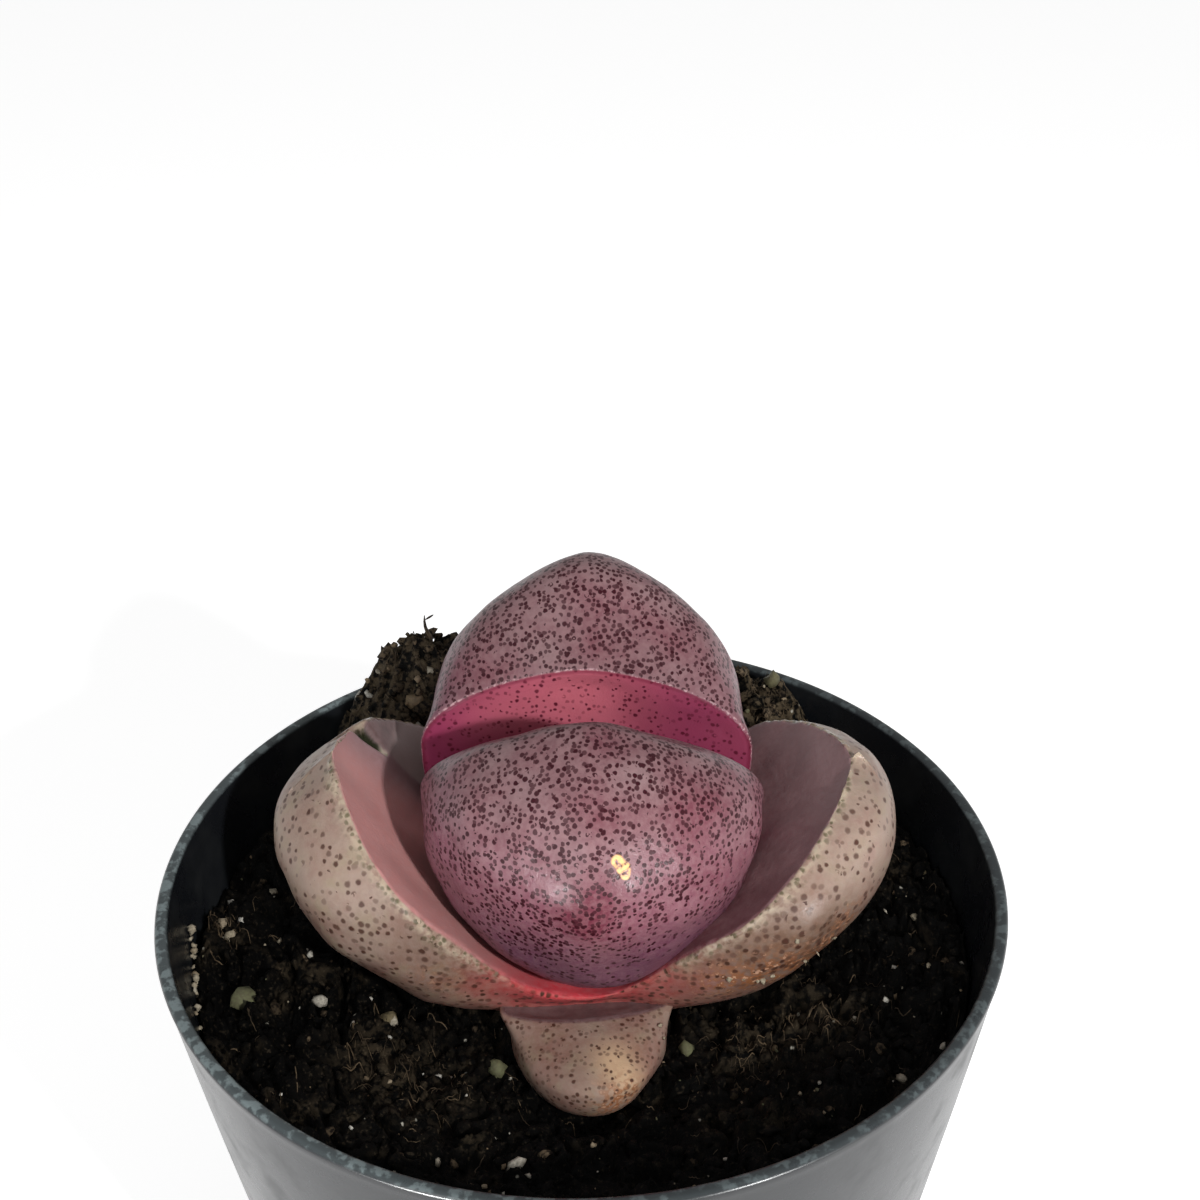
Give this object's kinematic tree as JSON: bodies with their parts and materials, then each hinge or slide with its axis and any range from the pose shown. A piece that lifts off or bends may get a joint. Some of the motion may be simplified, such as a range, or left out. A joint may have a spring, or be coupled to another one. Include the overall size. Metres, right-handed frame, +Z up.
{
  "type": "potted split rock succulent",
  "caption": "Low succulent of swollen, split, cup-shaped leaf pairs on a very short stem, standing in peat in a thin-walled tapered nursery pot.",
  "frame": {"origin": "middle of the pot's base, on the surface that the pot stands on", "axes": "+Z up along the pot's axis; the small old leaf points to -Y, the front; the middle pair of leaves spreads to -X and +X"},
  "size_m": [0.064, 0.064, 0.0775],
  "materials": {
    "pot": "black semi-gloss plastic, dusty and a little scuffed at the rim",
    "soil": "moist dark peat with brown fibres and pale grains, matte",
    "crown_root": "dry corky brown skin",
    "upper_leaves": "waxy satin mauve skin with small dark maroon dots, magenta inner face",
    "middle_leaves": "waxy satin grey-pink skin with brown dots, pale edge line",
    "old_leaves": "satin beige-pink skin with brown dots and a tan corky patch"
  },
  "bodies": {
    "root": {"pot": "pot", "soil": "soil", "crown_root": "crown_root", "upper_leaf_front": "upper_leaves", "upper_leaf_back": "upper_leaves", "middle_leaf_left": "middle_leaves", "middle_leaf_right": "middle_leaves", "old_leaf_front": "old_leaves", "old_leaf_back": "old_leaves"}
  },
  "joints": []
}
